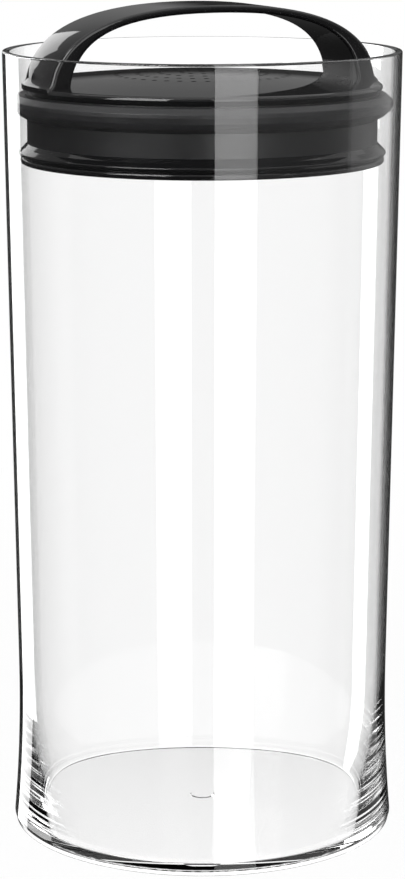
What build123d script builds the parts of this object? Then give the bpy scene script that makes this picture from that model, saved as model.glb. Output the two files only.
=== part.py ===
from build123d import *
import os

os.makedirs("parts", exist_ok=True)

# Millimetres. The origin is the centre of the base, +Z points up and the handle spans X.
# A clear canister holds a plunger lid: the lid slides down the bore, lets air out through a
# one-way flap, and a lift of the handle opens a plug that lets the air back in.

# Clear canister, narrowing to a waist above a flared, thick base
rim_radius = 60.0
canister_height = 240.0
canister_wall = 2.1
rim_rounding = 0.6
waist_taper = 2.55
waist_height = 50.0
flare_width = 1.85
flare_height = 2.1
foot_inset = 0.4
foot_height = 1.7
foot_rounding = 0.5
stand_ring_width = 4.8
base_recess = 0.5
floor_level = 2.3
foot_wall = 6.0
bore_turn_height = 40.0
floor_fillet = 0.5
gate_radius = 3.6
gate_depth = 0.3
waist_radius = rim_radius - waist_taper
flare_radius = waist_radius + flare_width
foot_radius = flare_radius - foot_inset
bore_foot_radius = foot_radius - foot_wall
wall_lean_share = waist_taper / (canister_height - waist_height)
bore_turn_radius = waist_radius - canister_wall - wall_lean_share * (waist_height - bore_turn_height)
mouth_radius = rim_radius - canister_wall

# Clearances and the one overrun that every cut uses
snug_gap = 0.05
running_gap = 0.06
loose_gap = 0.3
overrun = 1.0

# Cap: the slightly domed plate, its bullnose ring and the arched handle, moulded in one
cap_drop = 9.6
cap_gap = 3.6
cap_plate = 2.2
cap_dome = 2.9
ring_depth = 2.7
ring_nose_height = 1.5
ring_top_round = 1.2
ring_under_inset = 1.0
ring_seat_width = 1.5
skirt_wall = 1.8
skirt_depth = 5.2
spring_line_depth = 2.4
strap_inset = 2.7
strap_foot_width = 5.8
strap_outer_rise = 25.8
strap_thickness = 2.3
strap_half_width = 13.2
strap_rounding = 0.9
foot_flare = 2.8
outer_fullness_share = 0.669
inner_fullness_share = 0.713
cap_radius = mouth_radius - cap_gap
strap_outer_span = cap_radius - strap_inset
strap_inner_span = strap_outer_span - strap_foot_width
strap_inner_rise = strap_outer_rise - strap_thickness
dome_edge_radius = cap_radius - ring_top_round
dome_radius = (dome_edge_radius**2 + cap_dome**2) / (2 * cap_dome)

# Vent grille in the middle of the cap, on a ledge and four spokes
grille_margin = 2.0
grille_thickness = 1.5
vent_radius = 0.8
vent_spacing = 6.5
vent_margin = 1.9
vents_in_first_ring = 10
ledge_thickness = 2.0
ledge_width = 1.1
ledge_wall = 1.9
spoke_width = 4.0
spoke_depth = 2.5
hub_radius = 6.0
hub_depth = 3.2

# Drum of the lid, with a gasket above and below its neck
drum_gap = 5.1
gasket_step = 1.2
drum_wall = 2.0
upper_gasket_height = 6.4
neck_height = 7.1
lower_gasket_height = 4.0
ledge_in_drum = 3.0
drum_ledge_thickness = 1.6
bridge_drop = 8.3
drum_radius = mouth_radius - drum_gap
gasket_seat_radius = drum_radius - gasket_step
drum_bore = gasket_seat_radius - drum_wall

# Upper gasket: a thick wiping lip that meets the bore
upper_lip_gap = 0.5
upper_lip_drop = 1.7
upper_shoulder_inset = 2.0
upper_rise = 1.0
upper_heel_inset = 2.5
upper_heel_height = 1.3
upper_belly_inset = 0.6
upper_belly_height = 3.0
upper_rebate_width = 1.7
gasket_rounding = 0.5
upper_lip_radius = mouth_radius - upper_lip_gap
upper_shoulder_radius = upper_lip_radius - upper_shoulder_inset
upper_heel_radius = upper_lip_radius - upper_heel_inset
upper_belly_radius = upper_lip_radius - upper_belly_inset
upper_rebate_radius = gasket_seat_radius + upper_rebate_width

# Lower gasket: a smaller guiding lip
lower_lip_gap = 2.3
lower_lip_height = 1.3
lower_neck_width = 1.1
lower_neck_height = 2.8
lower_foot_inset = 1.2
lower_lip_radius = mouth_radius - lower_lip_gap
lower_neck_radius = drum_radius + lower_neck_width
lower_foot_radius = lower_lip_radius - lower_foot_inset

# Clamp ring that holds the upper gasket down
clamp_flange = 1.4
clamp_gap = 0.1
clamp_wall = 2.0
clamp_spigot = 3.6
clamp_radius = upper_rebate_radius - clamp_gap
clamp_inner_radius = drum_bore - clamp_wall

# Bottom plate with the release port, the flap valve holes and four bosses
plate_gap = 3.0
plate_thickness = 1.9
plate_edge_flat = 0.2
port_radius = 5.0
port_seat_width = 1.2
port_seat_height = 1.0
boss_inset = 8.6
boss_radius = 4.0
boss_count = 4
boss_first_angle = 22.5
pilot_radius = 1.25
pilot_depth = 7.0
flap_hole_radius = 1.4
flap_hole_circle_radius = 5.2
flap_hole_count = 8
plate_radius = mouth_radius - plate_gap
plate_rounding = (plate_thickness - plate_edge_flat) / 2
boss_circle_radius = drum_bore - boss_inset

# Flap valve: a soft disc that lifts on a headed pin
flap_lap = 1.4
flap_thickness = 0.8
flap_lift = 1.2
pin_radius = 1.5
pin_head_radius = 4.0
pin_head_height = 1.1
flap_radius = flap_hole_circle_radius + flap_hole_radius + flap_lap

# Guide bridge across the drum, with a spring tower in its middle
bridge_thickness = 2.4
bridge_rim_width = 5.0
bridge_hub_margin = 3.6
bridge_arm_width = 13.0
tower_wall = 1.8
tower_bore_gap = 1.1
tower_head_gap = 0.4
tower_roof = 1.4
bridge_screw_head_radius = 3.0
bridge_screw_head_height = 1.8
bridge_screw_length = 6.0

# Guide posts under the cap, with washers and screws that stop the handle's lift
handle_travel = 4.0
post_inset = 7.0
post_radius = 4.0
post_count = 4
post_first_angle = 45.0
washer_radius = 6.0
washer_thickness = 1.0
stop_screw_head_radius = 3.0
stop_screw_head_height = 1.6
stop_screw_length = 6.0
screw_clearance = 0.15
post_circle_radius = boss_circle_radius - post_inset
grille_radius = post_circle_radius - post_radius - grille_margin
vent_rings = int((grille_radius - vent_margin) / vent_spacing)

# Release valve: stem, plug, spring and the screw that hangs them from the cap
stem_radius = 2.5
collar_width = 4.0
collar_thickness = 1.4
plug_lap = 1.8
plug_thickness = 1.8
plug_spigot_radius = 1.4
stem_screw_radius = 1.25
stem_screw_head_radius = 2.6
stem_screw_head_height = 1.4
stem_screw_length = 7.0
spring_inset = 0.9
spring_wire = 0.7
spring_turns = 5.5
plug_flap_gap = 6.0
collar_radius = stem_radius + collar_width
spring_radius = collar_radius - spring_inset
tower_radius = collar_radius + tower_bore_gap + tower_wall
bridge_hub_radius = tower_radius + bridge_hub_margin
plug_radius = port_radius + port_seat_width + plug_lap
flap_place = plug_radius + plug_flap_gap + flap_radius


def crown(radius):
    """Level of the cap's domed top face at a distance from the axis."""
    return cap_top + cap_dome - dome_radius + (dome_radius**2 - radius**2) ** 0.5


# Levels, stacked down from the edge of the cap's top face
cap_top = canister_height - cap_drop
plate_under = cap_top - cap_plate
ring_under = cap_top - ring_depth
ring_nose = ring_under + ring_nose_height
spring_line = cap_top - spring_line_depth
grille_seat = crown(grille_radius) - grille_thickness
drum_top = ring_under - clamp_flange
upper_shoulder = drum_top - upper_gasket_height
lower_shoulder = upper_shoulder - neck_height
plate_top = lower_shoulder - lower_gasket_height
plate_bottom = plate_top - plate_thickness
bridge_seat = drum_top - bridge_drop
bridge_top = bridge_seat + bridge_thickness
hub_bottom = grille_seat - loose_gap - hub_depth
tower_top = hub_bottom - tower_head_gap
tower_height = tower_top - bridge_seat
washer_top = bridge_seat - handle_travel - snug_gap
port_seat = plate_top + port_seat_height
collar_bottom = port_seat + plug_thickness
collar_top = collar_bottom + collar_thickness
flap_top = plate_top + flap_thickness
pin_head_level = flap_top + flap_lift + snug_gap


def arch_side(span, rise, fullness_share):
    """Half of a squared arch, from its top in the middle down to its foot on the spring line."""
    return Bezier(
        (0, spring_line + rise),
        (span * fullness_share, spring_line + rise),
        (span, spring_line + rise * fullness_share),
        (span, spring_line),
    )


# Canister: one moulded cup of clear plastic, thickest where the base flares.
with BuildPart() as canister:
    with BuildSketch(Plane.XZ) as canister_profile:
        recess_radius = foot_radius - foot_rounding - stand_ring_width
        with BuildLine():
            underside = Polyline(
                (0, base_recess),
                (recess_radius - base_recess, base_recess),
                (recess_radius, 0),
                (foot_radius, 0),
                (foot_radius, foot_height),
                (flare_radius, flare_height),
            )
            body_line = Line((waist_radius, waist_height), (rim_radius, canister_height))
            TangentArc(body_line @ 0, underside @ 1, tangent=body_line % 0 * -1)
            rim_line = Line(body_line @ 1, (rim_radius - canister_wall, canister_height))
            bore_line = Line(rim_line @ 1, (bore_turn_radius, bore_turn_height))
            bore_foot = TangentArc(
                bore_line @ 1, (bore_foot_radius, floor_level), tangent=bore_line % 1
            )
            Polyline(
                bore_foot @ 1,
                (gate_radius + gate_depth, floor_level),
                (gate_radius, floor_level - gate_depth),
                (0, floor_level - gate_depth),
                (0, base_recess),
            )
        make_face()
        rim_corners = canister_profile.vertices().group_by(Axis.Y)[-1]
        fillet(rim_corners, radius=rim_rounding)
        floor_corner = canister_profile.vertices().sort_by_distance(
            (bore_foot_radius, floor_level)
        )[0]
        fillet(floor_corner, radius=floor_fillet)
        foot_corner = canister_profile.vertices().sort_by_distance((foot_radius, 0))[0]
        fillet(foot_corner, radius=foot_rounding)
    revolve(axis=Axis.Z)
canister.part.label = "canister"
export_step(canister.part, "parts/canister.step")

# Cap and handle: the arched strap springs from a round cap plate with a bullnose edge.
with BuildPart() as handle_cap:
    with BuildSketch(Plane.XZ) as strap_profile:
        with BuildLine():
            outer_side = arch_side(strap_outer_span, strap_outer_rise, outer_fullness_share)
            inner_side = arch_side(strap_inner_span, strap_inner_rise, inner_fullness_share)
            Line(outer_side @ 1, inner_side @ 1)
            Line(inner_side @ 0, outer_side @ 0)
        make_face()
        with Locations((strap_inner_span + running_gap, cap_top)):
            Rectangle(
                cap_radius + foot_flare - strap_inner_span,
                spring_line_depth,
                align=(Align.MIN, Align.MAX),
            )
        mirror(about=Plane.YZ)
        with Locations((0, ring_nose)):
            Rectangle(
                3 * cap_radius,
                2 * spring_line_depth,
                align=(Align.CENTER, Align.MAX),
                mode=Mode.SUBTRACT,
            )
        foot_corners = strap_profile.vertices().filter_by(
            lambda corner: abs(corner.Y - cap_top) < snug_gap and abs(corner.X) < cap_radius
        )
        outer_foot_corners = foot_corners.filter_by(
            lambda corner: abs(corner.X) > strap_outer_span - overrun
        )
        fillet(outer_foot_corners, radius=foot_flare)
    extrude(amount=strap_half_width, both=True)
    side_edges = handle_cap.faces().filter_by(Axis.Y).edges()
    fillet(
        side_edges.filter_by(lambda edge: edge.center().Z > cap_top),
        radius=strap_rounding,
    )
    with BuildSketch(Plane.XY.offset(ring_nose)):
        Circle(cap_radius)
    extrude(amount=2 * strap_outer_rise, mode=Mode.INTERSECT)
    with BuildSketch(Plane.XZ):
        skirt_radius = clamp_inner_radius - loose_gap
        seat_wall = grille_radius + snug_gap
        with BuildLine():
            dome = RadiusArc((seat_wall, crown(seat_wall)), (dome_edge_radius, cap_top), dome_radius)
            nose = RadiusArc(dome @ 1, (cap_radius, ring_nose), ring_top_round)
            Polyline(
                nose @ 1,
                (cap_radius - ring_under_inset, ring_under),
                (cap_radius - ring_under_inset - ring_seat_width, ring_under),
                (cap_radius - ring_under_inset - ring_seat_width, plate_under),
                (skirt_radius, plate_under),
                (skirt_radius, plate_under - skirt_depth),
                (skirt_radius - skirt_wall, plate_under - skirt_depth),
                (skirt_radius - skirt_wall, plate_under),
                (seat_wall + ledge_wall, crown(seat_wall + ledge_wall) - cap_plate),
                (seat_wall + ledge_wall, grille_seat - ledge_thickness),
                (seat_wall - ledge_width, grille_seat - ledge_thickness),
                (seat_wall - ledge_width, grille_seat),
                (seat_wall, grille_seat),
                dome @ 0,
            )
        make_face()
    revolve(axis=Axis.Z)
    with BuildSketch(Plane.XY.offset(grille_seat - loose_gap - spoke_depth)):
        Rectangle(2 * seat_wall, spoke_width)
        Rectangle(spoke_width, 2 * seat_wall)
    extrude(amount=spoke_depth)
    with BuildSketch(Plane.XY.offset(hub_bottom)):
        Circle(hub_radius)
    extrude(amount=hub_depth)
    with BuildSketch(Plane.XY.offset(washer_top)):
        with PolarLocations(post_circle_radius, post_count, start_angle=post_first_angle):
            Circle(post_radius)
    extrude(amount=crown(post_circle_radius + post_radius) - cap_plate / 2 - washer_top)
    with BuildSketch(Plane.XY.offset(washer_top)):
        with PolarLocations(post_circle_radius, post_count, start_angle=post_first_angle):
            Circle(pilot_radius)
    extrude(amount=stop_screw_length + loose_gap, mode=Mode.SUBTRACT)
    with Locations((0, 0, hub_bottom + hub_depth)):
        CounterSinkHole(
            radius=stem_screw_radius + screw_clearance,
            counter_sink_radius=stem_screw_head_radius + screw_clearance,
            depth=hub_depth,
        )
handle_cap.part.label = "handle_cap"
export_step(handle_cap.part, "parts/handle_cap.step")

# Vent grille: a disc with rings of small round holes, flush with the dome around it.
with BuildPart() as vent_grille:
    with BuildSketch(Plane.XZ):
        with BuildLine():
            crown_line = RadiusArc((0, crown(0)), (grille_radius, crown(grille_radius)), dome_radius)
            Polyline(crown_line @ 1, (grille_radius, grille_seat), (0, grille_seat), crown_line @ 0)
        make_face()
    revolve(axis=Axis.Z)
    with BuildSketch(Plane.XY.offset(grille_seat)):
        Circle(vent_radius)
        for ring in range(1, vent_rings + 1):
            with PolarLocations(vent_spacing * ring, vents_in_first_ring * ring):
                Circle(vent_radius)
    extrude(amount=grille_thickness + cap_dome, mode=Mode.SUBTRACT)
vent_grille.part.label = "vent_grille"
export_step(vent_grille.part, "parts/vent_grille.step")

# Drum: the lid's wall, stepped for both gaskets, with a ledge for the bridge inside.
with BuildPart() as lid_drum:
    with BuildSketch(Plane.XZ):
        with BuildLine():
            Polyline(
                (drum_bore, plate_top),
                (gasket_seat_radius, plate_top),
                (gasket_seat_radius, lower_shoulder),
                (drum_radius, lower_shoulder),
                (drum_radius, upper_shoulder),
                (gasket_seat_radius, upper_shoulder),
                (gasket_seat_radius, drum_top),
                (drum_bore, drum_top),
                (drum_bore, bridge_seat),
                (drum_bore - ledge_in_drum, bridge_seat),
                (drum_bore - ledge_in_drum, bridge_seat - drum_ledge_thickness),
                (drum_bore, bridge_seat - drum_ledge_thickness),
                close=True,
            )
        make_face()
    revolve(axis=Axis.Z)
lid_drum.part.label = "lid_drum"
export_step(lid_drum.part, "parts/lid_drum.step")

# Upper gasket: silicone, slipped over the drum's top and wiping the bore.
with BuildPart() as upper_gasket:
    with BuildSketch(Plane.XZ) as upper_section:
        gasket_bore = gasket_seat_radius + snug_gap
        with BuildLine():
            Polyline(
                (gasket_bore, upper_shoulder),
                (drum_radius, upper_shoulder),
                (upper_heel_radius, upper_shoulder + upper_heel_height),
                (upper_belly_radius, upper_shoulder + upper_belly_height),
                (upper_lip_radius, drum_top - upper_lip_drop),
                (upper_lip_radius - snug_gap, drum_top - upper_rise + gasket_rounding),
                (upper_shoulder_radius, drum_top + upper_rise),
                (upper_rebate_radius, drum_top + upper_rise),
                (upper_rebate_radius, drum_top),
                (gasket_bore, drum_top),
                close=True,
            )
        make_face()
        outer_corners = upper_section.vertices().filter_by(
            lambda corner: corner.X > upper_heel_radius - snug_gap
        )
        fillet(outer_corners, radius=gasket_rounding)
    revolve(axis=Axis.Z)
upper_gasket.part.label = "upper_gasket"
export_step(upper_gasket.part, "parts/upper_gasket.step")

# Lower gasket: silicone, trapped between the drum's lower step and the bottom plate.
with BuildPart() as lower_gasket:
    with BuildSketch(Plane.XZ) as lower_section:
        with BuildLine():
            Polyline(
                (gasket_bore, plate_top),
                (lower_foot_radius, plate_top),
                (lower_lip_radius, plate_top + lower_lip_height),
                (lower_neck_radius, plate_top + lower_neck_height),
                (drum_radius, lower_shoulder),
                (gasket_bore, lower_shoulder),
                close=True,
            )
        make_face()
        lip_corners = lower_section.vertices().filter_by(
            lambda corner: corner.X > drum_radius + snug_gap
        )
        fillet(lip_corners, radius=gasket_rounding)
    revolve(axis=Axis.Z)
lower_gasket.part.label = "lower_gasket"
export_step(lower_gasket.part, "parts/lower_gasket.step")

# Clamp ring: snaps into the drum's mouth and holds the upper gasket down.
with BuildPart() as clamp_ring:
    with BuildSketch(Plane.XZ):
        with BuildLine():
            Polyline(
                (clamp_inner_radius, drum_top - clamp_spigot),
                (drum_bore - snug_gap, drum_top - clamp_spigot),
                (drum_bore - snug_gap, drum_top),
                (clamp_radius, drum_top),
                (clamp_radius, ring_under),
                (clamp_inner_radius, ring_under),
                close=True,
            )
        make_face()
    revolve(axis=Axis.Z)
clamp_ring.part.label = "clamp_ring"
export_step(clamp_ring.part, "parts/clamp_ring.step")

# Bottom plate: closes the drum, with the port's seat, flap holes and bosses.
with BuildPart() as bottom_plate:
    with BuildSketch(Plane.XY.offset(plate_bottom)):
        Circle(plate_radius)
    extrude(amount=plate_thickness)
    fillet(bottom_plate.faces().filter_by(GeomType.CYLINDER).edges(), radius=plate_rounding)
    with BuildSketch(Plane.XY.offset(plate_top)):
        Circle(port_radius + port_seat_width)
    extrude(amount=port_seat_height)
    with BuildSketch(Plane.XY.offset(plate_top)):
        with PolarLocations(boss_circle_radius, boss_count, start_angle=boss_first_angle):
            Circle(boss_radius)
    extrude(amount=bridge_seat - plate_top)
    with BuildSketch(Plane.XY.offset(bridge_seat - pilot_depth)):
        with PolarLocations(boss_circle_radius, boss_count, start_angle=boss_first_angle):
            Circle(pilot_radius)
    extrude(amount=pilot_depth, mode=Mode.SUBTRACT)
    with BuildSketch(Plane.XY.offset(plate_bottom)):
        Circle(port_radius)
        with Locations((0, -flap_place)):
            Circle(pin_radius)
            with PolarLocations(flap_hole_circle_radius, flap_hole_count):
                Circle(flap_hole_radius)
    extrude(amount=plate_thickness + port_seat_height, mode=Mode.SUBTRACT)
bottom_plate.part.label = "bottom_plate"
export_step(bottom_plate.part, "parts/bottom_plate.step")

# Check flap: a soft disc that air lifts on its way out.
with BuildPart() as check_flap:
    with BuildSketch(Plane.XY.offset(plate_top)):
        with Locations((0, -flap_place)):
            Circle(flap_radius)
            Circle(pin_radius + running_gap, mode=Mode.SUBTRACT)
    extrude(amount=flap_thickness)
check_flap.part.label = "check_flap"
export_step(check_flap.part, "parts/check_flap.step")

# Flap pin: pressed into the bottom plate, its head stops the flap.
with BuildPart() as flap_pin:
    with BuildSketch(Plane.XY.offset(plate_bottom)):
        with Locations((0, -flap_place)):
            Circle(pin_radius - snug_gap)
    extrude(amount=pin_head_level - plate_bottom)
    with BuildSketch(Plane.XY.offset(pin_head_level)):
        with Locations((0, -flap_place)):
            Circle(pin_head_radius)
    extrude(amount=pin_head_height)
    fillet(flap_pin.edges().group_by(Axis.Z)[-1], radius=pin_head_height / 2)
flap_pin.part.label = "flap_pin"
export_step(flap_pin.part, "parts/flap_pin.step")

# Guide bridge: carries the cap's posts and the stem, and roofs the spring.
with BuildPart() as guide_bridge:
    with BuildSketch(Plane.XY.offset(bridge_seat)):
        bridge_radius = drum_bore - snug_gap
        Circle(bridge_radius)
        Circle(bridge_radius - bridge_rim_width, mode=Mode.SUBTRACT)
        Circle(bridge_hub_radius)
        with PolarLocations(0, post_count, start_angle=post_first_angle):
            Rectangle(2 * (bridge_radius - bridge_rim_width / 2), bridge_arm_width)
        with PolarLocations(boss_circle_radius, boss_count, start_angle=boss_first_angle):
            Circle(boss_radius + bridge_screw_head_radius / 2)
    extrude(amount=bridge_thickness)
    with BuildSketch(Plane.XY.offset(bridge_seat)):
        Circle(tower_radius)
    extrude(amount=tower_height)
    with BuildSketch(Plane.XY.offset(bridge_seat)):
        Circle(tower_radius - tower_wall)
    extrude(amount=tower_height - tower_roof, mode=Mode.SUBTRACT)
    with BuildSketch(Plane.XY.offset(bridge_seat)):
        Circle(stem_radius + running_gap)
        with PolarLocations(post_circle_radius, post_count, start_angle=post_first_angle):
            Circle(post_radius + running_gap)
        with PolarLocations(boss_circle_radius, boss_count, start_angle=boss_first_angle):
            Circle(pilot_radius + screw_clearance)
    extrude(amount=tower_height + overrun, mode=Mode.SUBTRACT)
guide_bridge.part.label = "guide_bridge"
export_step(guide_bridge.part, "parts/guide_bridge.step")

# Bridge screws: cheese heads with a cross slot, into the bosses of the bottom plate.
with BuildPart() as bridge_screws:
    with BuildSketch(Plane.XY.offset(bridge_top)):
        with PolarLocations(boss_circle_radius, boss_count, start_angle=boss_first_angle):
            Circle(bridge_screw_head_radius)
    extrude(amount=bridge_screw_head_height)
    fillet(
        bridge_screws.edges().group_by(Axis.Z)[-1], radius=bridge_screw_head_height / 3
    )
    with BuildSketch(Plane.XY.offset(bridge_top)):
        with PolarLocations(boss_circle_radius, boss_count, start_angle=boss_first_angle):
            Circle(pilot_radius - snug_gap)
    extrude(amount=-(bridge_thickness + bridge_screw_length))
    with BuildSketch(Plane.XY.offset(bridge_top + bridge_screw_head_height)):
        with PolarLocations(boss_circle_radius, boss_count, start_angle=boss_first_angle):
            Rectangle(bridge_screw_head_radius, bridge_screw_head_height / 3)
            Rectangle(bridge_screw_head_height / 3, bridge_screw_head_radius)
    extrude(amount=-bridge_screw_head_height / 2, mode=Mode.SUBTRACT)
bridge_screws.part.label = "bridge_screws"
export_step(bridge_screws.part, "parts/bridge_screws.step")

# Stop washers: they meet the bridge from below when the handle is fully up.
with BuildPart() as stop_washers:
    with BuildSketch(Plane.XY.offset(washer_top)):
        with PolarLocations(post_circle_radius, post_count, start_angle=post_first_angle):
            Circle(washer_radius)
            Circle(pilot_radius + screw_clearance, mode=Mode.SUBTRACT)
    extrude(amount=-washer_thickness)
stop_washers.part.label = "stop_washers"
export_step(stop_washers.part, "parts/stop_washers.step")

# Stop screws: they hold the washers to the posts.
with BuildPart() as stop_screws:
    with BuildSketch(Plane.XY.offset(washer_top - washer_thickness)):
        with PolarLocations(post_circle_radius, post_count, start_angle=post_first_angle):
            Circle(stop_screw_head_radius)
    extrude(amount=-stop_screw_head_height)
    fillet(stop_screws.edges().group_by(Axis.Z)[0], radius=stop_screw_head_height / 3)
    with BuildSketch(Plane.XY.offset(washer_top - washer_thickness)):
        with PolarLocations(post_circle_radius, post_count, start_angle=post_first_angle):
            Circle(pilot_radius - snug_gap)
    extrude(amount=washer_thickness + stop_screw_length)
    with BuildSketch(Plane.XY.offset(washer_top - washer_thickness - stop_screw_head_height)):
        with PolarLocations(post_circle_radius, post_count, start_angle=post_first_angle):
            Rectangle(stop_screw_head_radius, stop_screw_head_height / 3)
            Rectangle(stop_screw_head_height / 3, stop_screw_head_radius)
    extrude(amount=stop_screw_head_height / 2, mode=Mode.SUBTRACT)
stop_screws.part.label = "stop_screws"
export_step(stop_screws.part, "parts/stop_screws.step")

# Valve stem: slides in the tower's roof, with a collar for the spring and the plug.
with BuildPart() as valve_stem:
    with BuildSketch(Plane.XY.offset(collar_bottom)):
        Circle(collar_radius)
    extrude(amount=collar_thickness)
    with BuildSketch(Plane.XY.offset(collar_top)):
        Circle(stem_radius)
    extrude(amount=hub_bottom - collar_top)
    with BuildSketch(Plane.XY.offset(collar_bottom)):
        Circle(plug_spigot_radius - snug_gap)
    extrude(amount=-plug_thickness / 2)
    with Locations((0, 0, hub_bottom)):
        Hole(radius=stem_screw_radius, depth=stem_screw_length)
valve_stem.part.label = "valve_stem"
export_step(valve_stem.part, "parts/valve_stem.step")

# Stem screw: countersunk in the cap's hub, under the grille.
with BuildPart() as stem_screw:
    with BuildSketch(Plane.XZ):
        screw_top = hub_bottom + hub_depth
        with BuildLine():
            Polyline(
                (0, screw_top),
                (stem_screw_head_radius, screw_top),
                (stem_screw_radius - snug_gap, screw_top - stem_screw_head_height),
                (stem_screw_radius - snug_gap, hub_bottom - stem_screw_length + loose_gap),
                (0, hub_bottom - stem_screw_length + loose_gap),
                close=True,
            )
        make_face()
    revolve(axis=Axis.Z)
    with BuildSketch(Plane.XY.offset(screw_top)):
        Rectangle(stem_screw_head_radius, stem_screw_head_height / 3)
        Rectangle(stem_screw_head_height / 3, stem_screw_head_radius)
    extrude(amount=-stem_screw_head_height / 2, mode=Mode.SUBTRACT)
stem_screw.part.label = "stem_screw"
export_step(stem_screw.part, "parts/stem_screw.step")

# Release plug: a soft disc under the collar that closes the port.
with BuildPart() as release_plug:
    with BuildSketch(Plane.XY.offset(port_seat)):
        Circle(plug_radius)
    extrude(amount=plug_thickness)
    with BuildSketch(Plane.XY.offset(collar_bottom)):
        Circle(plug_spigot_radius)
    extrude(amount=-plug_thickness / 2, mode=Mode.SUBTRACT)
release_plug.part.label = "release_plug"
export_step(release_plug.part, "parts/release_plug.step")

# Return spring: pushes the stem's collar down from under the tower's roof.
with BuildPart() as return_spring:
    spring_bottom = collar_top + spring_wire / 2 + snug_gap
    spring_top = bridge_seat + tower_height - tower_roof - spring_wire / 2 - snug_gap
    spring_height = spring_top - spring_bottom
    with BuildLine(Plane.XY.offset(spring_bottom)):
        coil = Helix(
            pitch=spring_height / spring_turns, height=spring_height, radius=spring_radius
        )
    with BuildSketch(Plane(origin=coil @ 0, z_dir=coil % 0)):
        Circle(spring_wire / 2)
    sweep()
return_spring.part.label = "return_spring"
export_step(return_spring.part, "parts/return_spring.step")
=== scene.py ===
import math

import bmesh
import bpy
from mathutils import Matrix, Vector


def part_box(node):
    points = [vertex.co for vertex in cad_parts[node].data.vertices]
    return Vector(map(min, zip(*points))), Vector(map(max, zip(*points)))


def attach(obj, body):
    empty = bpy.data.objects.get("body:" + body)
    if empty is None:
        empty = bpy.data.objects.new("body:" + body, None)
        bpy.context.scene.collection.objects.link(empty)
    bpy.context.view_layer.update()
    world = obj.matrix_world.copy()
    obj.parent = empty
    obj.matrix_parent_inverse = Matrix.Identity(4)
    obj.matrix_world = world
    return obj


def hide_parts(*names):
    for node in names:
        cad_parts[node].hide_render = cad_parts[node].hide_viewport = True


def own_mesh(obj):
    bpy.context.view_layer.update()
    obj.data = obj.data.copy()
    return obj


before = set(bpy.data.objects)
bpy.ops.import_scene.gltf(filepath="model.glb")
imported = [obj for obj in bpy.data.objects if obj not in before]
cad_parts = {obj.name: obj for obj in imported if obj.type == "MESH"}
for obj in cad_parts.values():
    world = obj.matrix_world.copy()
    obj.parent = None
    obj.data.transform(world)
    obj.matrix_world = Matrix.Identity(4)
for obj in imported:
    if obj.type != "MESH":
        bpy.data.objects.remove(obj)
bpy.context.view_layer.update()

# The canister is one injection-moulded cup of clear plastic, polished inside and out.
# It narrows to a waist near the foot, then flares over a thick base that stands on a ring.
# Its floor has a round gate mark in the middle, left by the mould.

MM = 0.001
canister_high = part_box("canister")[1]
rim_radius = canister_high.x
canister_height = canister_high.z
wall = 2.1 * MM
rim_rounding = 0.6 * MM
waist_radius = rim_radius - 2.55 * MM
waist_height = 50 * MM
flare_radius = waist_radius + 1.85 * MM
flare_height = 2.1 * MM
foot_radius = flare_radius - 0.4 * MM
foot_height = 1.7 * MM
foot_rounding = 0.5 * MM
stand_ring_width = 4.8 * MM
base_recess = 0.5 * MM
floor_level = 2.3 * MM
foot_wall = 6.0 * MM
bore_turn_height = 40 * MM
floor_fillet = 0.5 * MM
gate_radius = 3.6 * MM
gate_height = 0.3 * MM
long_edge = 1.0 * MM
edge_support = 0.1 * MM
sharp_angle = math.radians(25)
curve_steps = 48
rim_steps = 8
corner_steps = 6


def to_linear(hex_colour):
    """An sRGB hex colour as linear red, green, blue and alpha."""
    channels = [int(hex_colour[i : i + 2], 16) / 255 for i in (1, 3, 5)]
    return [c / 12.92 if c <= 0.04045 else ((c + 0.055) / 1.055) ** 2.4 for c in channels] + [1.0]


def add_node(tree, kind, settings=None, links=None):
    """Adds a node; settings are its properties or socket values, links its inputs' sources."""
    node = tree.nodes.new(kind)
    for name, value in (settings or {}).items():
        if isinstance(name, int) or name in node.inputs:
            node.inputs[name].default_value = value
        else:
            setattr(node, name, value)
    for name, source in (links or {}).items():
        tree.links.new(source, node.inputs[name])
    return node


def new_material(name):
    """An empty material, its tree, its output node and a surface position in metres."""
    material = bpy.data.materials.new(name)
    material.use_nodes = True
    tree = material.node_tree
    tree.nodes.clear()
    output = add_node(tree, "ShaderNodeOutputMaterial")
    place = add_node(tree, "ShaderNodeTexCoord").outputs["Object"]
    return material, tree, output.inputs["Surface"], place


def arc(centre, radius, start, end, steps):
    """Points on a circle in the radius and height plane, angles in degrees."""
    turns = [math.radians(start + (end - start) * i / steps) for i in range(steps + 1)]
    return [(centre[0] + radius * math.cos(t), centre[1] + radius * math.sin(t)) for t in turns]


def leaning_arc(start, end, along, steps):
    """An arc from start to end that leaves start in the direction along."""
    start, end, along = Vector(start), Vector(end), Vector(along).normalized()
    chord = end - start
    across = Vector((-along.y, along.x))
    radius = chord.length_squared / (2 * chord.dot(across))
    centre = start + across * radius
    first = math.atan2(*reversed(start - centre))
    turn = 2 * along.angle_signed(chord)
    return [
        tuple(centre + (start - centre).length * Vector((math.cos(a), math.sin(a))))
        for a in (first - turn * i / steps for i in range(steps + 1))
    ]


def rounded(before, corner, after, radius):
    """The points of an arc that rounds a corner between two straight edges."""
    before, corner, after = Vector(before), Vector(corner), Vector(after)
    arriving, leaving = (corner - before).normalized(), (after - corner).normalized()
    turn = arriving.angle_signed(leaving)
    start = corner - arriving * radius * abs(math.tan(turn / 2))
    end = corner + leaving * radius * abs(math.tan(turn / 2))
    return leaning_arc(start, end, arriving, corner_steps)


def supported(outline):
    """The outline with a point close to each end of every long edge, which keeps its shading flat."""
    points = []
    for start, end in zip(outline, outline[1:]):
        length = math.dist(start, end)
        points.append(start)
        if length > long_edge:
            for share in (edge_support / length, 1 - edge_support / length):
                points.append(tuple(a + (b - a) * share for a, b in zip(start, end)))
    return points + [outline[-1]]


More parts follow.
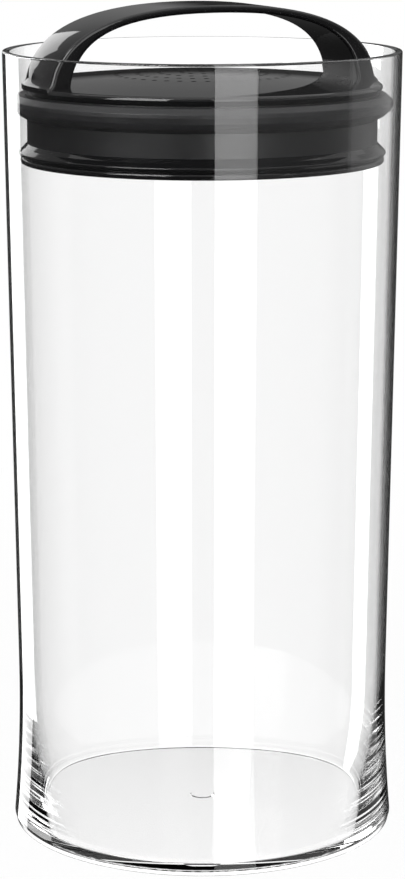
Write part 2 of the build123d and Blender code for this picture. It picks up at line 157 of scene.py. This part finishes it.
def turned(name, outline, segments=360):
    """A closed body of revolution whose outline runs round the section, from axis to axis."""
    points, faces, rings = [], [], []
    for radius, height in supported(outline):
        if radius == 0:
            rings.append([len(points)])
            points.append((0, 0, height))
            continue
        rings.append(range(len(points), len(points) + segments))
        for i in range(segments):
            turn = 2 * math.pi * i / segments
            points.append((radius * math.cos(turn), radius * math.sin(turn), height))
    for low, high in zip(rings, rings[1:]):
        for i in range(segments):
            j = (i + 1) % segments
            if len(low) == 1:
                faces.append((low[0], high[j], high[i]))
            elif len(high) == 1:
                faces.append((low[i], low[j], high[0]))
            else:
                faces.append((low[i], low[j], high[j], high[i]))
    mesh = bpy.data.meshes.new(name)
    mesh.from_pydata(points, [], faces)
    mesh.validate()
    mesh.shade_smooth()
    mesh.set_sharp_from_angle(angle=sharp_angle)
    piece = bpy.data.objects.new(name, mesh)
    bpy.context.scene.collection.objects.link(piece)
    return piece


body_slope = Vector((rim_radius - waist_radius, canister_height - waist_height))
lean = body_slope.x / body_slope.y
recess_radius = foot_radius - foot_rounding - stand_ring_width
rim_bend = canister_height - rim_rounding
bore_turn = (waist_radius - wall - lean * (waist_height - bore_turn_height), bore_turn_height)
bore_foot = (foot_radius - foot_wall, floor_level)
flare = leaning_arc((waist_radius, waist_height), (flare_radius, flare_height), -body_slope, curve_steps)
draw_in = leaning_arc(bore_turn, bore_foot, -body_slope, curve_steps)
canister_outline = [
    (0, base_recess),
    (recess_radius - base_recess, base_recess),
    (recess_radius, 0),
    *arc((foot_radius - foot_rounding, foot_rounding), foot_rounding, -90, 0, corner_steps),
    (foot_radius, foot_height),
    *reversed(flare[1:]),
    (waist_radius, waist_height),
    *arc((rim_radius - rim_rounding, rim_bend), rim_rounding, 0, 90, rim_steps),
    *arc((rim_radius - wall + rim_rounding, rim_bend), rim_rounding, 90, 180, rim_steps),
    bore_turn,
    *draw_in[1:-1],
    *rounded(draw_in[-2], bore_foot, (gate_radius, floor_level), floor_fillet),
    (gate_radius + gate_height, floor_level),
    (gate_radius, floor_level + gate_height),
    (0, floor_level + gate_height),
]
canister = turned("clear_canister", canister_outline)

# Styrene acrylonitrile, clear and polished: white shows through it, and painted shade darkens its
# outside where it turns away, standing for the dark studio seen in the wall. Wiping has left it a trace
# of haze.
clear_tone = to_linear("#FDFDFD")
# Painted shade: the outside's tint runs from clear to near black as it turns edge-on.
painted_edge_shade_tones = ((0.74, "#FDFDFD"), (0.773, "#767676"), (0.823, "#383838"), (0.875, "#191919"))
haze_size = 45 * MM
haze_roughness = 0.012
clear_plastic, tree, surface, place = new_material("clear_styrene_acrylonitrile_polished")
geometry = add_node(tree, "ShaderNodeNewGeometry")
facing = add_node(tree, "ShaderNodeLayerWeight", {"Blend": 0.5})
edge = add_node(tree, "ShaderNodeValToRGB", None, {"Fac": facing.outputs["Facing"]})
for stop, (share, tone) in enumerate(painted_edge_shade_tones):
    if stop >= 2:
        edge.color_ramp.elements.new(share)
    edge.color_ramp.elements[stop].position = share
    edge.color_ramp.elements[stop].color = to_linear(tone)
level_place = add_node(
    tree, "ShaderNodeVectorMath", {"operation": "MULTIPLY", 1: (1.0, 1.0, 0.0)}, {0: place}
)
outwards = add_node(
    tree,
    "ShaderNodeVectorMath",
    {"operation": "DOT_PRODUCT"},
    {0: level_place.outputs[0], 1: geometry.outputs["Normal"]},
)
outside = add_node(
    tree, "ShaderNodeMath", {"operation": "GREATER_THAN", 1: 0.0}, {0: outwards.outputs["Value"]}
)
# The painted edge shade goes on the outer face only, and only where light enters it from outside.
wall_painted_edge_tone = add_node(
    tree,
    "ShaderNodeMix",
    {"data_type": "RGBA", 6: clear_tone},
    {0: outside.outputs[0], 7: edge.outputs["Color"]},
)
entering_painted_edge_tone = add_node(
    tree,
    "ShaderNodeMix",
    {"data_type": "RGBA", 7: clear_tone},
    {0: geometry.outputs["Backfacing"], 6: wall_painted_edge_tone.outputs[2]},
)
haze = add_node(
    tree, "ShaderNodeTexNoise", {"Scale": 1 / haze_size, "Detail": 3.0}, {"Vector": place}
)
haze_map = add_node(
    tree,
    "ShaderNodeMapRange",
    {"From Min": 0.55, "From Max": 0.8, "To Min": 0.0, "To Max": haze_roughness},
    {"Value": haze.outputs[0]},
)
shader = add_node(
    tree,
    "ShaderNodeBsdfPrincipled",
    {"IOR": 1.5, "Transmission Weight": 1.0},
    {"Base Color": entering_painted_edge_tone.outputs[2], "Roughness": haze_map.outputs[0]},
)

# Lamps light the lid through the wall, and what the lid mirrors is seen straight through it.
path = add_node(tree, "ShaderNodeLightPath")
facing_in = add_node(
    tree, "ShaderNodeMath", {"operation": "SUBTRACT", 0: 1.0}, {1: geometry.outputs["Backfacing"]}
)
entering = add_node(
    tree,
    "ShaderNodeMath",
    {"operation": "MULTIPLY"},
    {0: path.outputs["Is Reflection Ray"], 1: facing_in.outputs[0]},
)
passing = add_node(
    tree,
    "ShaderNodeMath",
    {"operation": "MAXIMUM"},
    {0: entering.outputs[0], 1: path.outputs["Transparent Depth"]},
)
let_through = add_node(
    tree,
    "ShaderNodeMath",
    {"operation": "MAXIMUM", "use_clamp": True},
    {0: passing.outputs[0], 1: path.outputs["Is Shadow Ray"]},
)
straight = add_node(tree, "ShaderNodeBsdfTransparent")
glass = add_node(
    tree,
    "ShaderNodeMixShader",
    None,
    {"Fac": let_through.outputs[0], 1: shader.outputs["BSDF"], 2: straight.outputs[0]},
)
tree.links.new(glass.outputs[0], surface)
canister.data.materials.append(clear_plastic)
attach(canister, "canister")
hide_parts("canister")

# The plunger lid's hard inner parts: the drum, the clamp ring, the guide bridge, the flap's pin
# and the valve's stem, moulded in black ABS in spark-eroded tools. The drum shows between the
# gaskets through the canister's wall.

# A fine even grain that spreads highlights wide. The grain is drawn three times too coarse, to show.
satin_dark = to_linear("#121213")
satin_light = to_linear("#1B1B1C")
spark_grain = 0.45 * MM
grain_depth = 0.012 * MM
mould_patch = 22 * MM
satin_abs, tree, surface, place = new_material("black_abs_spark_eroded")
grain = add_node(
    tree, "ShaderNodeTexNoise", {"Scale": 1 / spark_grain, "Detail": 2.0}, {"Vector": place}
)
patch = add_node(
    tree, "ShaderNodeTexNoise", {"Scale": 1 / mould_patch, "Detail": 4.0}, {"Vector": place}
)
tone = add_node(
    tree,
    "ShaderNodeMix",
    {"data_type": "RGBA", 6: satin_dark, 7: satin_light},
    {0: patch.outputs[0]},
)
rough = add_node(
    tree,
    "ShaderNodeMapRange",
    {"From Min": 0.3, "From Max": 0.7, "To Min": 0.32, "To Max": 0.42},
    {"Value": patch.outputs[0]},
)
relief = add_node(
    tree,
    "ShaderNodeBump",
    {"Strength": 0.4, "Distance": grain_depth},
    {"Height": grain.outputs[0]},
)
shader = add_node(
    tree,
    "ShaderNodeBsdfPrincipled",
    {"IOR": 1.52},
    {"Base Color": tone.outputs[2], "Roughness": rough.outputs[0], "Normal": relief.outputs[0]},
)
tree.links.new(shader.outputs["BSDF"], surface)


def coat(material, *names):
    """Gives the named pieces one finish all over."""
    for name in names:
        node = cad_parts[name]
        node.data.materials.clear()
        node.data.materials.append(material)


coat(satin_abs, "lid_drum", "clamp_ring", "guide_bridge", "flap_pin", "valve_stem")

# The upper gasket, the thick lip that wipes the bore. It is compression-moulded in black silicone
# and held in the drum's top step by the clamp ring.

# Duller and softer than the plastic, with a fine powdery bloom and a few clinging specks.
silicone_dark = to_linear("#19191A")
silicone_bloom = to_linear("#29292A")
bloom_size = 6 * MM
speck_spacing = 2.8 * MM
skin_depth = 0.01 * MM
black_silicone, tree, surface, place = new_material("black_silicone_moulded")
bloom = add_node(
    tree, "ShaderNodeTexNoise", {"Scale": 1 / bloom_size, "Detail": 6.0}, {"Vector": place}
)
speck = add_node(
    tree, "ShaderNodeTexVoronoi", {"Scale": 1 / speck_spacing}, {"Vector": place}
)
speck_share = add_node(
    tree,
    "ShaderNodeMapRange",
    {"From Min": 0.06, "From Max": 0.1, "To Min": 0.7, "To Max": 0.0},
    {"Value": speck.outputs["Distance"]},
)
bloom_share = add_node(
    tree, "ShaderNodeMath", {"operation": "MAXIMUM"}, {0: speck_share.outputs[0], 1: bloom.outputs[0]}
)
tone = add_node(
    tree,
    "ShaderNodeMix",
    {"data_type": "RGBA", 6: silicone_dark, 7: silicone_bloom},
    {0: bloom_share.outputs[0]},
)
rough = add_node(
    tree,
    "ShaderNodeMapRange",
    {"From Min": 0.3, "From Max": 0.7, "To Min": 0.36, "To Max": 0.5},
    {"Value": bloom.outputs[0]},
)
relief = add_node(
    tree,
    "ShaderNodeBump",
    {"Strength": 0.3, "Distance": skin_depth},
    {"Height": bloom.outputs[0]},
)
shader = add_node(
    tree,
    "ShaderNodeBsdfPrincipled",
    {"IOR": 1.43},
    {"Base Color": tone.outputs[2], "Roughness": rough.outputs[0], "Normal": relief.outputs[0]},
)
tree.links.new(shader.outputs["BSDF"], surface)

# The upper gasket stands in short arcs, each carried with the lid; the real lip draws in all round as
# the bore narrows.
arc_count = 24
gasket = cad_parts["upper_gasket"].data
half_turn = math.pi / arc_count
for number in range(arc_count):
    turn = 2 * half_turn * number
    cut = bmesh.new()
    cut.from_mesh(gasket)
    for side in (-1, 1):
        edge_turn = turn + side * half_turn
        outside_way = side * Vector((-math.sin(edge_turn), math.cos(edge_turn), 0))
        cutting = bmesh.ops.bisect_plane(
            cut,
            geom=cut.verts[:] + cut.edges[:] + cut.faces[:],
            plane_co=(0, 0, 0),
            plane_no=outside_way,
            clear_outer=True,
        )
        edges = [g for g in cutting["geom_cut"] if isinstance(g, bmesh.types.BMEdge)]
        bmesh.ops.holes_fill(cut, edges=edges, sides=0)
    mesh = bpy.data.meshes.new("gasket_arc")
    cut.to_mesh(mesh)
    cut.free()
    mesh.shade_smooth()
    mesh.set_sharp_from_angle(angle=sharp_angle)
    mesh.materials.clear()
    mesh.materials.append(black_silicone)
    piece = bpy.data.objects.new(f"upper_gasket_arc_{number + 1:02d}", mesh)
    bpy.context.scene.collection.objects.link(piece)
    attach(piece, "lid")
    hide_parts("upper_gasket")
    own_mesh(piece)

# The lower gasket, a smaller lip that keeps the lid upright, stretched over the drum's foot. It is
# black silicone too, but comes from a polished tool.

# A lobe that shines like wet rubber, with soft streaks where it has picked up dust.
sheen_dark = to_linear("#0D0D0E")
sheen_dusty = to_linear("#151516")
dust_size = 8 * MM
polished_silicone, tree, surface, place = new_material("black_silicone_polished")
dust = add_node(
    tree, "ShaderNodeTexNoise", {"Scale": 1 / dust_size, "Detail": 5.0}, {"Vector": place}
)
dust_share = add_node(
    tree,
    "ShaderNodeMapRange",
    {"From Min": 0.5, "From Max": 0.75, "To Min": 0.0, "To Max": 1.0},
    {"Value": dust.outputs[0]},
)
tone = add_node(
    tree,
    "ShaderNodeMix",
    {"data_type": "RGBA", 6: sheen_dark, 7: sheen_dusty},
    {0: dust_share.outputs[0]},
)
rough = add_node(
    tree,
    "ShaderNodeMapRange",
    {"From Min": 0.0, "From Max": 1.0, "To Min": 0.05, "To Max": 0.12},
    {"Value": dust_share.outputs[0]},
)
shader = add_node(
    tree,
    "ShaderNodeBsdfPrincipled",
    {"IOR": 1.43},
    {"Base Color": tone.outputs[2], "Roughness": rough.outputs[0]},
)
tree.links.new(shader.outputs["BSDF"], surface)
coat(polished_silicone, "lower_gasket")

# The bottom plate, which the screws pull up against the drum, and the vent grille, which lies
# flush in the cap. Both are moulded in black ABS in polished tools.

# High gloss: a clear dark mirror with the slightest ripple, a little duller where hands rub it.
gloss_dark = to_linear("#0C0C0D")
gloss_rubbed = to_linear("#111112")
ripple_size = 9 * MM
ripple_depth = 0.004 * MM
rub_size = 14 * MM
gloss_abs, tree, surface, place = new_material("black_abs_high_gloss")
ripple = add_node(
    tree, "ShaderNodeTexNoise", {"Scale": 1 / ripple_size, "Detail": 1.0}, {"Vector": place}
)
rub = add_node(
    tree, "ShaderNodeTexNoise", {"Scale": 1 / rub_size, "Detail": 5.0}, {"Vector": place}
)
rub_share = add_node(
    tree,
    "ShaderNodeMapRange",
    {"From Min": 0.5, "From Max": 0.75, "To Min": 0.0, "To Max": 1.0},
    {"Value": rub.outputs[0]},
)
tone = add_node(
    tree,
    "ShaderNodeMix",
    {"data_type": "RGBA", 6: gloss_dark, 7: gloss_rubbed},
    {0: rub_share.outputs[0]},
)
rough = add_node(
    tree,
    "ShaderNodeMapRange",
    {"From Min": 0.0, "From Max": 1.0, "To Min": 0.03, "To Max": 0.07},
    {"Value": rub_share.outputs[0]},
)
relief = add_node(
    tree,
    "ShaderNodeBump",
    {"Strength": 0.3, "Distance": ripple_depth},
    {"Height": ripple.outputs[0]},
)
shader = add_node(
    tree,
    "ShaderNodeBsdfPrincipled",
    {"IOR": 1.52},
    {"Base Color": tone.outputs[2], "Roughness": rough.outputs[0], "Normal": relief.outputs[0]},
)
tree.links.new(shader.outputs["BSDF"], surface)
coat(gloss_abs, "bottom_plate", "vent_grille")

# The domed cap and its arched handle, moulded in one piece in the same glossy ABS. It hangs on the
# lid by four posts. The outsides of its legs bow out between their side edges, like the round ring
# they stand on: all the way at the foot, within the cap's edge, and not at all at the arch's top.
leg_bow = 1.7 * MM
half_width = 13.2 * MM
bow_cuts = 12
foot_depth = 23.38 * MM
dome_clearance = 17.8 * MM
leg_middle = 48 * MM
cut_tolerance = 0.01 * MM
cap_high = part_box("handle_cap")[1]
foot_level = cap_high.z - foot_depth
above_dome = cap_high.z - dome_clearance


def bow_share(height):
    """How much of the legs' bow a height has: all at the foot and none at the arch's top."""
    return 1 - ((height - foot_level) / foot_depth) ** 2


def bow_out(point):
    """How far the middle of a leg's outside would stand out here, to the left or the right."""
    return math.copysign(leg_bow, point.x) * (1 - (point.y / half_width) ** 2)


def on_handle(point):
    """Whether a point of the cap belongs to its arched handle."""
    return point.z > above_dome or (point.z > foot_level and abs(point.x) > leg_middle)


def bowed(point, normal):
    """Whether a point of the cap lies on the outside of the handle, between its side edges."""
    return on_handle(point) and abs(point.y) < half_width and normal.x * point.x > 0


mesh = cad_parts["handle_cap"].data.copy()
# The cap's own shading is kept, and turned with the surface where it bows.
plain_normals = mesh.attributes.new("plain_normal", "FLOAT_VECTOR", "CORNER")
plain_normals.data.foreach_set("vector", [part for n in mesh.corner_normals for part in n.vector])
cut = bmesh.new()
cut.from_mesh(mesh)
for number in range(1, bow_cuts):
    faces = [f for f in cut.faces if all(on_handle(v.co) for v in f.verts)]
    edges = dict.fromkeys(e for f in faces for e in f.edges)
    points = dict.fromkeys(v for f in faces for v in f.verts)
    level = half_width * (2 * number / bow_cuts - 1)
    bmesh.ops.bisect_plane(
        cut,
        geom=[*faces, *edges, *points],
        dist=cut_tolerance,
        plane_co=(0, level, 0),
        plane_no=(0, 1, 0),
    )
cut.to_mesh(mesh)
cut.free()
places = [v.co.copy() for v in mesh.vertices]
facings = [v.normal.copy() for v in mesh.vertices]
at_edge = set()
for point, at, facing in zip(mesh.vertices, places, facings):
    if bowed(at, facing):
        point.co.x += bow_out(at) * bow_share(at.z)
        reach = math.hypot(point.co.x, at.y)
        if reach > cap_high.x:
            point.co.x *= cap_high.x / reach
            point.co.y *= cap_high.x / reach
            at_edge.add(point.index)
normals = []
for loop, plain in zip(mesh.loops, mesh.attributes["plain_normal"].data):
    at, normal = places[loop.vertex_index], Vector(plain.vector)
    if bowed(at, normal) and loop.vertex_index in at_edge:
        normal = Vector((at.x, at.y, 0))
    elif bowed(at, normal):
        slope_across = -2 * math.copysign(leg_bow, at.x) * at.y / half_width**2
        share_slope = -2 * (at.z - foot_level) / foot_depth**2
        slope = Vector((0, slope_across * bow_share(at.z), bow_out(at) * share_slope))
        normal -= normal.x * slope
    normals.append(normal.normalized())
mesh.attributes.remove(mesh.attributes["plain_normal"])
mesh.normals_split_custom_set(normals)
mesh.materials.clear()
mesh.materials.append(gloss_abs)
handle = bpy.data.objects.new("arched_handle_cap", mesh)
bpy.context.scene.collection.objects.link(handle)
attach(handle, "handle")
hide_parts("handle_cap")

# The one-way flap and the release plug: soft discs of unpigmented silicone that seal the
# bottom plate's holes, the flap on its pin and the plug under the stem's collar.

# Milky and faintly see-through, with a matt moulded skin.
milky_dark = to_linear("#C9CCCE")
milky_light = to_linear("#DDDFE0")
milk_size = 3 * MM
milk_depth = 1.5 * MM
valve_silicone, tree, surface, place = new_material("clear_silicone_moulded_matt")
milk = add_node(
    tree, "ShaderNodeTexNoise", {"Scale": 1 / milk_size, "Detail": 5.0}, {"Vector": place}
)
tone = add_node(
    tree,
    "ShaderNodeMix",
    {"data_type": "RGBA", 6: milky_dark, 7: milky_light},
    {0: milk.outputs[0]},
)
rough = add_node(
    tree,
    "ShaderNodeMapRange",
    {"From Min": 0.3, "From Max": 0.7, "To Min": 0.45, "To Max": 0.6},
    {"Value": milk.outputs[0]},
)
shader = add_node(
    tree,
    "ShaderNodeBsdfPrincipled",
    {"IOR": 1.41, "Subsurface Weight": 0.3, "Subsurface Scale": milk_depth},
    {"Base Color": tone.outputs[2], "Roughness": rough.outputs[0]},
)
tree.links.new(shader.outputs["BSDF"], surface)
coat(valve_silicone, "check_flap", "release_plug")

# The screws that hold the lid together and the washers that stop the handle's lift: pressed and
# rolled steel, zinc-plated and passivated.

# A cool, slightly cloudy metal whose tint drifts from blue to straw.
zinc_blue = to_linear("#B9C0C6")
zinc_straw = to_linear("#C9C4B4")
cloud_size = 2.5 * MM
plating_grain = 0.25 * MM
plating_depth = 0.006 * MM
zinc_steel, tree, surface, place = new_material("steel_zinc_plated")
cloud = add_node(
    tree, "ShaderNodeTexNoise", {"Scale": 1 / cloud_size, "Detail": 4.0}, {"Vector": place}
)
plating = add_node(
    tree, "ShaderNodeTexNoise", {"Scale": 1 / plating_grain, "Detail": 2.0}, {"Vector": place}
)
tone = add_node(
    tree,
    "ShaderNodeMix",
    {"data_type": "RGBA", 6: zinc_blue, 7: zinc_straw},
    {0: cloud.outputs[0]},
)
rough = add_node(
    tree,
    "ShaderNodeMapRange",
    {"From Min": 0.3, "From Max": 0.7, "To Min": 0.22, "To Max": 0.38},
    {"Value": cloud.outputs[0]},
)
relief = add_node(
    tree,
    "ShaderNodeBump",
    {"Strength": 0.3, "Distance": plating_depth},
    {"Height": plating.outputs[0]},
)
shader = add_node(
    tree,
    "ShaderNodeBsdfPrincipled",
    {"Metallic": 1.0},
    {"Base Color": tone.outputs[2], "Roughness": rough.outputs[0], "Normal": relief.outputs[0]},
)
tree.links.new(shader.outputs["BSDF"], surface)
coat(zinc_steel, "bridge_screws", "stop_washers", "stop_screws", "stem_screw")

# The return spring, coiled cold from drawn stainless wire. It stands round the valve's stem, under
# the guide bridge, and presses the plug onto its port.

# Bright steel, with drawing lines that run round the coil with the wire.
wire_dark = to_linear("#9B9C9F")
wire_light = to_linear("#C6C7C9")
draw_line = 0.12 * MM
draw_length = 6 * MM
drawn_wire, tree, surface, place = new_material("stainless_wire_drawn")
stretched = add_node(
    tree,
    "ShaderNodeMapping",
    {"Scale": (1 / draw_length, 1 / draw_length, 1 / draw_line)},
    {"Vector": place},
)
lines = add_node(
    tree, "ShaderNodeTexNoise", {"Scale": 1.0, "Detail": 2.0}, {"Vector": stretched.outputs[0]}
)
tone = add_node(
    tree,
    "ShaderNodeMix",
    {"data_type": "RGBA", 6: wire_dark, 7: wire_light},
    {0: lines.outputs[0]},
)
rough = add_node(
    tree,
    "ShaderNodeMapRange",
    {"From Min": 0.3, "From Max": 0.7, "To Min": 0.18, "To Max": 0.32},
    {"Value": lines.outputs[0]},
)
shader = add_node(
    tree,
    "ShaderNodeBsdfPrincipled",
    {"Metallic": 1.0},
    {"Base Color": tone.outputs[2], "Roughness": rough.outputs[0]},
)
tree.links.new(shader.outputs["BSDF"], surface)

# It rides with the lid at its full length; the real spring shortens towards the bridge as the handle
# lifts the stem's collar.
coil = bpy.data.objects.new("return_coil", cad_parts["return_spring"].data.copy())
bpy.context.scene.collection.objects.link(coil)
coil.data.materials.clear()
coil.data.materials.append(drawn_wire)
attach(coil, "lid")
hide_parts("return_spring")
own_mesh(coil)

# The studio's floor, a matt white sheet. It shows white with a soft shadow, and is a plain white
# light under the canister's clear foot.

floor_radius = 14
floor_segments = 128
contact_height = 0.01 * MM
near_floor = 0.08
far_floor = 0.5
near_white_share = 0.86
contact_white = 1.22
sheet_white = to_linear("#EEEEEE")
bpy.ops.mesh.primitive_circle_add(vertices=floor_segments, radius=floor_radius, fill_type="NGON")
ground = bpy.context.object
ground.name = "studio_floor"
ground.location.z = contact_height
ground.visible_glossy = False
floor_paint, tree, surface, place = new_material("white_studio_floor")
path = add_node(tree, "ShaderNodeLightPath")
matt = add_node(tree, "ShaderNodeBsdfDiffuse", {"Color": sheet_white})
glow = add_node(tree, "ShaderNodeEmission", {"Strength": 1.0})
clear = add_node(tree, "ShaderNodeBsdfTransparent")
from_axis = add_node(tree, "ShaderNodeVectorMath", {"operation": "LENGTH"}, {0: place})
white_share = add_node(
    tree,
    "ShaderNodeMapRange",
    {"From Min": near_floor, "From Max": far_floor, "To Min": near_white_share, "To Max": 1.0},
    {"Value": from_axis.outputs["Value"]},
)
shown = add_node(
    tree,
    "ShaderNodeMixShader",
    None,
    {"Fac": white_share.outputs[0], 1: matt.outputs[0], 2: glow.outputs[0]},
)
lit = add_node(
    tree,
    "ShaderNodeMixShader",
    None,
    {"Fac": path.outputs["Is Camera Ray"], 1: matt.outputs[0], 2: shown.outputs[0]},
)
contact = add_node(tree, "ShaderNodeEmission", {"Strength": contact_white})
under = add_node(
    tree,
    "ShaderNodeMath",
    {"operation": "LESS_THAN", 1: rim_radius},
    {0: from_axis.outputs["Value"]},
)
behind = add_node(
    tree,
    "ShaderNodeMixShader",
    None,
    {"Fac": under.outputs[0], 1: clear.outputs[0], 2: contact.outputs[0]},
)
seen = add_node(
    tree,
    "ShaderNodeMixShader",
    None,
    {"Fac": path.outputs["Is Transmission Ray"], 1: lit.outputs[0], 2: behind.outputs[0]},
)
tree.links.new(seen.outputs[0], surface)
ground.data.materials.append(floor_paint)

# The studio's surroundings: white behind and through the clear wall, dark in its reflections,
# with a pale band above the horizon that the cap's dome mirrors.

soft_fill = 0.2
dark_surround = 0.03
pale_band = 0.25
pale_band_from = 0.06
pale_band_full = 0.12
glass_white = 1.12
glass_white_to = 0.16
glass_dark_from = 0.2
glass_dark = 0.01
background_white = to_linear("#FFFFFF")
world = bpy.data.worlds.new("studio")
bpy.context.scene.world = world
world.use_nodes = True
tree = world.node_tree
tree.nodes.clear()
output = add_node(tree, "ShaderNodeOutputWorld")
path = add_node(tree, "ShaderNodeLightPath")
direction = add_node(tree, "ShaderNodeTexCoord")
height = add_node(tree, "ShaderNodeSeparateXYZ", None, {0: direction.outputs["Generated"]})
mirrored = add_node(
    tree,
    "ShaderNodeMapRange",
    {
        "From Min": pale_band_from,
        "From Max": pale_band_full,
        "To Min": dark_surround,
        "To Max": pale_band,
    },
    {"Value": height.outputs["Z"]},
)
through = add_node(
    tree,
    "ShaderNodeMapRange",
    {
        "From Min": glass_white_to,
        "From Max": glass_dark_from,
        "To Min": glass_white,
        "To Max": glass_dark,
    },
    {"Value": height.outputs["Z"]},
)

# What the wall mirrors once on the light's way through it is dark, like its other reflections.
once = add_node(
    tree,
    "ShaderNodeMath",
    {"operation": "COMPARE", 1: 1.0, 2: 0.5},
    {0: path.outputs["Glossy Depth"]},
)
through = add_node(
    tree, "ShaderNodeMix", {3: dark_surround}, {0: once.outputs[0], 2: through.outputs[0]}
)
level = add_node(
    tree,
    "ShaderNodeMix",
    {2: soft_fill},
    {0: path.outputs["Is Glossy Ray"], 3: mirrored.outputs[0]},
)
level = add_node(
    tree,
    "ShaderNodeMix",
    None,
    {0: path.outputs["Is Transmission Ray"], 2: level.outputs[0], 3: through.outputs[0]},
)
level = add_node(
    tree, "ShaderNodeMix", {3: 1.0}, {0: path.outputs["Is Camera Ray"], 2: level.outputs[0]}
)
studio = add_node(
    tree,
    "ShaderNodeBackground",
    {"Color": background_white},
    {"Strength": level.outputs[0]},
)
tree.links.new(studio.outputs[0], output.inputs["Surface"])

# The studio's lamps: upright softboxes that face the object, and a wide one overhead. Angles are
# degrees to the right of the camera, so that the bands in the clear wall fall where they should.

view_turn = -21.5
overhead_width = 3.0
overhead_height = 1.8
overhead_strength = 0.8


def lamp_on(name, width, height, strength):
    """A flat lamp that the camera doesn't see; strength is how bright its face is, 1 is white."""
    light = bpy.data.lights.new(name, "AREA")
    light.shape = "RECTANGLE"
    light.size = width
    light.size_y = height
    light.energy = strength * math.pi * width * height
    lamp = bpy.data.objects.new(name, light)
    bpy.context.scene.collection.objects.link(lamp)
    lamp.visible_camera = False
    return lamp


def softbox(name, start, end, distance, bottom, top, strength):
    """An upright lamp from start to end degrees, with its distance and edges in metres."""
    bearing = math.radians(view_turn - 90 + (start + end) / 2)
    width = 2 * distance * math.tan(math.radians((end - start) / 2))
    lamp = lamp_on(name, width, top - bottom, strength)
    lamp.location = (math.cos(bearing) * distance, math.sin(bearing) * distance, (bottom + top) / 2)
    lamp.rotation_euler = (math.radians(90), 0, bearing + math.radians(90))
    return lamp


tall = {"distance": 1.5, "bottom": -2.0, "top": 2.0}
softbox("front_softbox", start=7, end=31, **tall, strength=2.2)
softbox("right_far_softbox", start=93, end=140, **tall, strength=0.4)
softbox("right_near_softbox", start=32, end=93, **tall, strength=0.12)

# A small one close behind puts the pale sweep on the handle's left leg.
softbox(
    "left_leg_softbox", start=-155, end=-134, distance=0.226, bottom=0.235, top=0.335, strength=1.45
)

# This one lights the clear wall alone, and gives it the white bands beside its dark edges.
wall_lamp = softbox(
    "left_strip_softbox", start=-148, end=-127, distance=0.5, bottom=-0.16, top=0.4, strength=3.5
)
wall_alone = bpy.data.collections.new("clear_wall_alone")
wall_alone.objects.link(canister)
wall_lamp.light_linking.receiver_collection = wall_alone

# The last two light the lid from above, and put the streaks on its ring and the lower gasket.
softbox("high_left_softbox", start=-62, end=-22, distance=1.3, bottom=0.4, top=1.9, strength=6.0)
overhead = lamp_on("overhead_softbox", overhead_width, overhead_width, overhead_strength)
overhead.location = (0, 0, overhead_height)

# Light goes to and fro many times in the thick clear foot before it leaves.
clear_bounces = 32
mirror_bounces = 16
bpy.context.scene.cycles.max_bounces = clear_bounces
bpy.context.scene.cycles.transmission_bounces = clear_bounces
bpy.context.scene.cycles.glossy_bounces = mirror_bounces

# The camera stands in front, a little to the left of the handle's broad side, and looks down. Its
# place, tilt and lens were fitted to the canister's rim, base and floor.
film_width = 36
focal_length = 113.3
camera_place = (-0.3064, -0.7780, 0.2985)
downward_tilt = 12.03
camera_data = bpy.data.cameras.new("camera")
camera_data.sensor_width = film_width
camera_data.lens = focal_length
camera = bpy.data.objects.new("camera", camera_data)
bpy.context.scene.collection.objects.link(camera)
camera.location = camera_place
camera.rotation_euler = (math.radians(90 - downward_tilt), 0, math.radians(view_turn))
bpy.context.scene.camera = camera
bpy.context.scene.view_settings.view_transform = "Standard"
